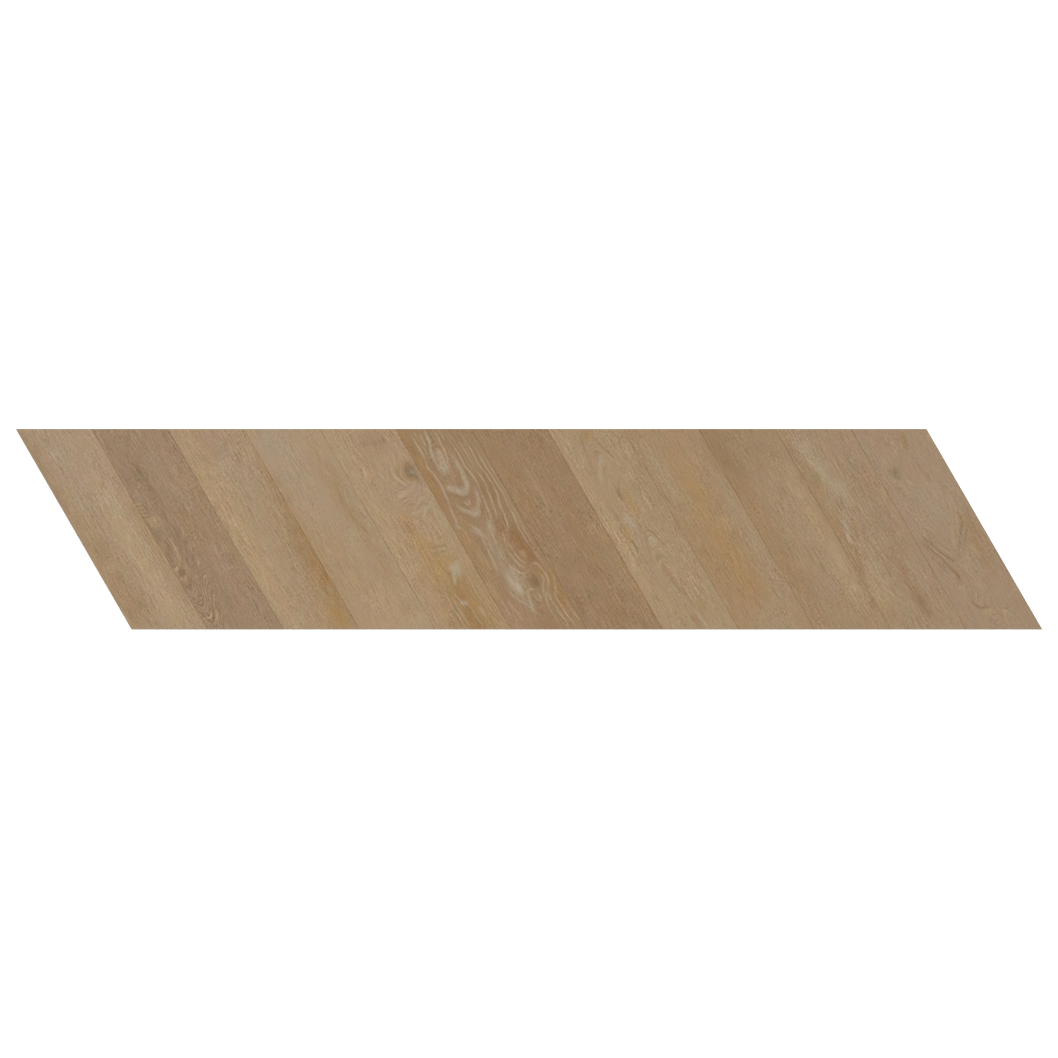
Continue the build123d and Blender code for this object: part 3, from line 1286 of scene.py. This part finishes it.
@dataclass(frozen=True)
class FlatSheet:
    """The flat map that finishes can be painted on: staves two to a row, edges in strips, then the back."""

    stave_length: float
    stave_width: float
    staves: int
    gap: float = 2.0
    strip_height: float = 2.0
    strips: int = 4

    @property
    def size(self) -> float:
        """Side of the sheet, in millimetres."""
        return 2 * self.stave_length + 3 * self.gap

    @property
    def strips_start(self) -> float:
        """Where the strips of the edges begin."""
        return self.gap + self.staves // 2 * (self.stave_width + self.gap)

    def stave(self, number: int, down: np.ndarray, across: np.ndarray) -> np.ndarray:
        """Lays a stave on the sheet.

        Args:
            number: The stave's place in the row, from 0.
            down: Distance from the far long edge, along the joints.
            across: Distance from the stave's left joint.

        Returns:
            Its map coordinates.
        """
        u = self.gap + number % 2 * (self.stave_length + self.gap) + down
        v = self.gap + number // 2 * (self.stave_width + self.gap) + across
        return np.stack([u, v], axis=-1) / self.size

    def edge(self, strip: int, run: np.ndarray, rise: np.ndarray) -> np.ndarray:
        """Lays a cut edge on the sheet.

        Args:
            strip: The strip that it goes on, from 0.
            run: Places along the edge, from 0 to 1.
            rise: Places up the edge, from 0 to 1.

        Returns:
            Their map coordinates.
        """
        u = self.gap + run * (self.size - 2 * self.gap)
        v = self.strips_start + strip * (self.strip_height + self.gap) + rise * self.strip_height
        return np.stack([u, v], axis=-1) / self.size

    def back(self, run: np.ndarray, down: np.ndarray) -> np.ndarray:
        """Lays the back on what is left of the sheet.

        Args:
            run: Places along the plank, from 0 to 1.
            down: Places from the far long edge to the near one, from 0 to 1.

        Returns:
            Their map coordinates.
        """
        start = self.strips_start + self.strips * (self.strip_height + self.gap)
        u = self.gap + run * (self.size - 2 * self.gap)
        v = start + down * (self.size - self.gap - start)
        return np.stack([u, v], axis=-1) / self.size


class Shell:
    """A closed mesh in the making: its points, its faces, and each face's finish and place on the sheet."""

    def __init__(self) -> None:
        """Starts with nothing in it."""
        self.points = np.empty((0, 3))
        self.sheet = np.empty((0, 2))
        self.faces: list[list[int]] = []
        self.finishes: list[int] = []

    def add_points(self, points: np.ndarray) -> np.ndarray:
        """Adds a grid of points.

        Args:
            points: The points, by row and column.

        Returns:
            Their numbers, by row and column.
        """
        numbers = len(self.points) + np.arange(points[..., 0].size).reshape(points.shape[:2])
        self.points = np.concatenate([self.points, points.reshape(-1, 3)])
        return numbers

    def add_faces(self, corners: np.ndarray, finish: Finish, sheet: np.ndarray) -> None:
        """Adds faces of one finish.

        Args:
            corners: The numbers of each face's points, one face to a row.
            finish: Their finish.
            sheet: The map coordinates of these corners.
        """
        self.faces += corners.tolist()
        self.finishes += [list(Finish).index(finish)] * len(corners)
        self.sheet = np.concatenate([self.sheet, sheet.reshape(-1, 2)])

    @staticmethod
    def cells(grid: np.ndarray) -> np.ndarray:
        """What the four corners of each cell of a grid hold, a cell to a row, counterclockwise from above."""
        ring = (grid[:-1, :-1], grid[1:, :-1], grid[1:, 1:], grid[:-1, 1:])
        return np.stack(ring, axis=2).reshape(-1, 4, *grid.shape[2:])


@dataclass(frozen=True)
class ChevronPlank:
    """The plank as one closed mesh: pressed face, half-joint bevels, cut edges and back."""

    length: float  # from tip to tip
    width: float
    thickness: float
    staves: tuple[Stave, ...] = STAVES
    chevron: float = radians(60)  # between a long edge and the joints
    joint_width: float = 1.0
    joint_depth: float = 0.3
    emboss: float = 0.07  # depth of the pressed grain
    emboss_margin: float = 3.0  # plain strip that the press leaves beside a joint
    rows: int = 140  # of the face's mesh, between the long edges
    back_rows: int = 12
    grain_step: float = 37.0  # from one stave's grain to the next in the patterns, so that none repeats
    joint_shade_seed: int = 900  # of the noise that makes the painted joint shade stronger and weaker along each joint
    joint_shade_wave: float = 20.0  # length of joint over which the painted shade is alike
    joint_shade_share: float = 0.6  # share of the painted joint shade that is laid on, on the mean
    sharp_angle: float = radians(15)  # between two faces, from which their edge is sharp

    @property
    def joint_length(self) -> float:
        """Length of a joint, from one long edge to the other."""
        return self.width / sin(self.chevron)

    @property
    def stave_width(self) -> float:
        """Width of a stave, square to its joints."""
        edge_length = self.length - self.width / tan(self.chevron)
        return edge_length * sin(self.chevron) / len(self.staves)

    @property
    def sheet(self) -> FlatSheet:
        """The flat map of the plank."""
        return FlatSheet(self.joint_length, self.stave_width, len(self.staves))

    @property
    def joint_columns(self) -> np.ndarray:
        """Which lines of the face's mesh run down the joints and the mitred ends."""
        return np.cumsum([0, *(stave.columns + 2 for stave in self.staves)])

    @property
    def back_lines(self) -> np.ndarray:
        """Which lines of the face's mesh run along the plank on its back too."""
        return np.linspace(0, self.rows + 2, self.back_rows + 1).round().astype(int)

    def build(self) -> bpy.types.Object:
        """Builds the mesh and dresses it.

        Returns:
            The plank.
        """
        shell = Shell()
        half = self.joint_width / 2
        down = self.lines(self.joint_length, self.rows, half / sin(self.chevron))
        places, sheet, layers = [], [], {"ink_and_joint_shade": [], "grain": [], "show": []}
        for number, stave in enumerate(self.staves):
            across = self.lines(self.stave_width, stave.columns, half)
            d, b = np.meshgrid(down, across, indexing="ij")
            places.append(self.face_points(d, b, number)[:, min(number, 1) :])
            sheet.append(Shell.cells(self.sheet.stave(number, d, b)).reshape(len(down) - 1, -1, 4, 2))
            for name, values in self.print_values(d, b, number).items():
                layers[name].append(Shell.cells(values).reshape(len(down) - 1, -1, 4, values.shape[-1]))
        face = np.concatenate(places, axis=1)
        top = shell.add_points(face)
        shell.add_faces(Shell.cells(top), Finish.FACE, np.concatenate(sheet, axis=1))
        bottom = self.add_back(shell, face)
        self.add_edges(shell, top, bottom)
        return self.dress(shell, {name: np.concatenate(parts, axis=1) for name, parts in layers.items()})

    @staticmethod
    def lines(reach: float, count: int, bevel: float) -> np.ndarray:
        """Mesh lines over a distance, with a bevel at each end.

        Args:
            reach: The whole distance.
            count: Cells between the bevels.
            bevel: Width of a bevel.

        Returns:
            The places of the lines.
        """
        return np.concatenate([[0.0], np.linspace(bevel, reach - bevel, count + 1), [reach]])

    def spots(self, down: np.ndarray, across: np.ndarray) -> Spots:
        """Places on a stave, from how far down its joints they are and how far from its left one."""
        return Spots(down + across / tan(self.chevron), across)

    def face_points(self, down: np.ndarray, across: np.ndarray, number: int) -> np.ndarray:
        """Places the face of one stave: the joints, the bevels of the long edges and the pressed grain.

        Args:
            down: Distance from the far long edge, along the joints.
            across: Distance from the stave's left joint.
            number: The stave's place in the row, from 0.

        Returns:
            Its points.
        """
        to_joint = np.minimum(across, self.stave_width - across)
        to_edge = np.minimum(down, self.joint_length - down) * sin(self.chevron)
        near = np.minimum(to_joint, to_edge)
        drop = self.joint_depth * np.clip(1 - near / (self.joint_width / 2), 0, 1)
        inside = np.clip((near - self.joint_width / 2) / self.emboss_margin, 0, 1)
        pressed = StavePrint(self.staves[number], number).relief(self.spots(down, across))
        aside = number * self.stave_width + across
        x = -self.length / 2 + down * cos(self.chevron) + aside / sin(self.chevron)
        y = self.width / 2 - down * sin(self.chevron)
        return np.stack([x, y, self.thickness - drop - self.emboss * inside * pressed], axis=-1)

    def print_values(self, down: np.ndarray, across: np.ndarray, number: int) -> dict[str, np.ndarray]:
        """What the printed finish reads from the mesh of one stave.

        Args:
            down: Distance from the far long edge, along the joints.
            across: Distance from the stave's left joint.
            number: The stave's place in the row, from 0.

        Returns:
            Its ink with the painted shade at its joints, the flow of its grain and how strongly its fine
            grain shows.
        """
        film = StavePrint(self.staves[number], number)
        at = self.spots(down, across)
        # Painted shade: the print darkens towards the root of each joint, where the groove lies in shade,
        # more along some stretches than others
        joints = [1.0] + [stave.joint_shade for stave in self.staves[1:]] + [1.0]
        shade = np.ones(across.shape)
        for side, gap in ((number, across), (number + 1, self.stave_width - across)):
            wave = SoftNoise(self.joint_shade_seed + side).at(down / self.joint_shade_wave, np.zeros(down.shape))
            shaded_share = np.clip(self.joint_shade_share + wave, 0, 1)
            shade -= (1 - joints[side]) * shaded_share * np.clip(1 - 2 * gap / self.joint_width, 0, 1)
        offset = np.full(down.shape, self.grain_step * number)
        return {
            "ink_and_joint_shade": film.colours(at) * shade[..., None],
            "grain": np.stack([at.along, film.flow(at), offset], axis=-1),
            "show": film.show(at)[..., None],
        }

    def add_back(self, shell: Shell, face: np.ndarray) -> np.ndarray:
        """Adds the flat back.

        Args:
            shell: The mesh that it goes into.
            face: The face's points, by row and column.

        Returns:
            The numbers of the back's points, by row and column.
        """
        points = face[np.ix_(self.back_lines, self.joint_columns)] * (1, 1, 0)
        bottom = shell.add_points(points)
        down, run = np.meshgrid(*(np.linspace(0, 1, count) for count in bottom.shape), indexing="ij")
        places = Shell.cells(self.sheet.back(run, down))
        shell.add_faces(Shell.cells(bottom)[:, ::-1], Finish.BACK, places[:, ::-1])
        return bottom

    def add_edges(self, shell: Shell, top: np.ndarray, bottom: np.ndarray) -> None:
        """Closes the mesh with the cut edges, from the far long edge round by the left end.

        Args:
            shell: The mesh that they go into.
            top: The numbers of the face's points, by row and column.
            bottom: The numbers of the back's points, by row and column.
        """
        joints, cuts = self.joint_columns, self.back_lines
        sides = (
            (top[0, ::-1], bottom[0, ::-1], joints[-1] - joints[::-1]),
            (top[:, 0], bottom[:, 0], cuts),
            (top[-1], bottom[-1], joints),
            (top[::-1, -1], bottom[::-1, -1], cuts[-1] - cuts[::-1]),
        )
        for strip, (upper, lower, stops) in enumerate(sides):
            for start, end, left, right in zip(stops, stops[1:], lower, lower[1:]):
                rim = [(upper[n], n, 1) for n in range(start, end + 1)]
                feet = (left, start, 0), (right, end, 0)
                middle = len(rim) // 2
                fan = [(a, feet[n >= middle], b) for n, (a, b) in enumerate(zip(rim, rim[1:]))]
                fan.append((rim[middle], *feet))
                number, run, rise = np.moveaxis(np.array(fan), -1, 0)
                shell.add_faces(number, Finish.EDGE, self.sheet.edge(strip, run / stops[-1], rise))

    def dress(self, shell: Shell, layers: dict[str, np.ndarray]) -> bpy.types.Object:
        """Makes the object and hangs the finishes on it.

        Args:
            shell: The closed mesh.
            layers: Values for the corners of the face's cells, which come first in the mesh.

        Returns:
            The plank.
        """
        mesh = bpy.data.meshes.new("printed_plank")
        mesh.from_pydata(shell.points * MM, [], shell.faces)
        mesh.polygons.foreach_set("material_index", shell.finishes)
        mesh.polygons.foreach_set("use_smooth", [True] * len(shell.faces))
        mesh.set_sharp_from_angle(angle=self.sharp_angle)
        for name, values in layers.items():
            width = values.shape[-1]
            kind, field = ("FLOAT_VECTOR", "vector") if width == 3 else ("FLOAT", "value")
            padded = np.zeros((len(mesh.loops), width), np.float32)
            padded[: values.size // width] = values.reshape(-1, width)
            mesh.attributes.new(name, kind, "CORNER").data.foreach_set(field, padded.ravel())
        mesh.uv_layers.new(name="OFBake").uv.foreach_set("vector", shell.sheet.astype(np.float32).ravel())
        for finish in Finish:
            mesh.materials.append(finish.value.material())
        return add_object("printed_plank", mesh)


@dataclass(frozen=True)
class Studio:
    """A white light table, soft light from above and a camera that looks straight down on the plank."""

    face_height: float  # mm, of the printed face
    frame_width: float = 1207.1  # mm of the face's plane that the picture takes in
    lens: float = 150.0  # mm
    sensor: float = 36.0  # mm
    view_reach: float = 100.0  # m, how far the camera sees
    floor_size: float = 40.0  # m
    floor_drop: float = 0.1  # mm, so that the floor and the plank's back don't coincide
    floor_colour: str = "#f5f5f5"
    floor_roughness: float = 0.9
    floor_glow: float = 0.30  # light from the table itself, so that the plank's edges throw no shadow
    key_strength: float = 0.84  # share of a white surface's light that comes from the key
    key_angle: float = 50.0  # degrees, how wide the key is as seen from the plank
    key_tilt: float = 26.0  # degrees from straight above, towards the far side
    fill_strength: float = 0.39

    def build(self) -> None:
        """Sets up floor, lights, camera and the plain display of colours."""
        self.lay_floor()
        self.hang_lights()
        self.set_camera()
        bpy.context.scene.view_settings.view_transform = "Standard"

    def lay_floor(self) -> None:
        """Lays the floor under the plank."""
        half = self.floor_size / 2
        mesh = bpy.data.meshes.new("floor")
        corners = [(-half, -half, 0), (half, -half, 0), (half, half, 0), (-half, half, 0)]
        mesh.from_pydata(corners, [], [(0, 1, 2, 3)])
        mesh.materials.append(self.floor_paint())
        floor = add_object("floor", mesh)
        floor.location.z = -self.floor_drop * MM

    def floor_paint(self) -> bpy.types.Material:
        """Makes the floor's white paint, which is clear from below, so that the plank's back can be seen.

        Returns:
            The material.
        """
        made = new_material("matt_paint")
        tree = made.node_tree
        paint = add_node(
            tree,
            "ShaderNodeBsdfPrincipled",
            inputs={
                "Base Color": (*linear(self.floor_colour), 1.0),
                "Roughness": self.floor_roughness,
                "Emission Color": WHITE,
                "Emission Strength": self.floor_glow,
            },
        ).outputs[0]
        below = add_node(tree, "ShaderNodeNewGeometry").outputs["Backfacing"]
        clear = add_node(tree, "ShaderNodeBsdfTransparent").outputs[0]
        shader = add_node(tree, "ShaderNodeMixShader", inputs={0: below, 1: paint, 2: clear}).outputs[0]
        add_node(tree, "ShaderNodeOutputMaterial", inputs={"Surface": shader})
        return made

    def hang_lights(self) -> None:
        """Hangs one wide key light and fills in from all round."""
        key = bpy.data.lights.new("key", "SUN")
        key.energy = pi * self.key_strength
        key.angle = radians(self.key_angle)
        add_object("key", key).rotation_euler = (-radians(self.key_tilt), 0, 0)
        world = bpy.data.worlds.new("fill")
        world.use_nodes = True
        world.node_tree.nodes["Background"].inputs["Color"].default_value = WHITE
        world.node_tree.nodes["Background"].inputs["Strength"].default_value = self.fill_strength
        bpy.context.scene.world = world

    def set_camera(self) -> None:
        """Sets the camera above the middle of the face."""
        data = bpy.data.cameras.new("camera")
        data.lens, data.sensor_width = self.lens, self.sensor
        data.clip_end = self.view_reach
        camera = add_object("camera", data)
        distance = self.frame_width * self.lens / self.sensor
        camera.location = (0, 0, (self.face_height + distance) * MM)
        bpy.context.scene.camera = camera


def main() -> None:
    """Builds the plank and the studio round it."""
    logging.basicConfig(level=logging.INFO, format="%(name)s: %(message)s")
    low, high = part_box(NODE)
    length, width, thickness = ((high - low) / MM)[:]
    plank = ChevronPlank(length, width, thickness).build()
    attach(plank, BODY)
    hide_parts(NODE)
    log.info("%s: %d faces", plank.name, len(plank.data.polygons))
    Studio(thickness).build()
    log.info("studio: floor, key, fill and camera")


if __name__ == "__main__":
    main()
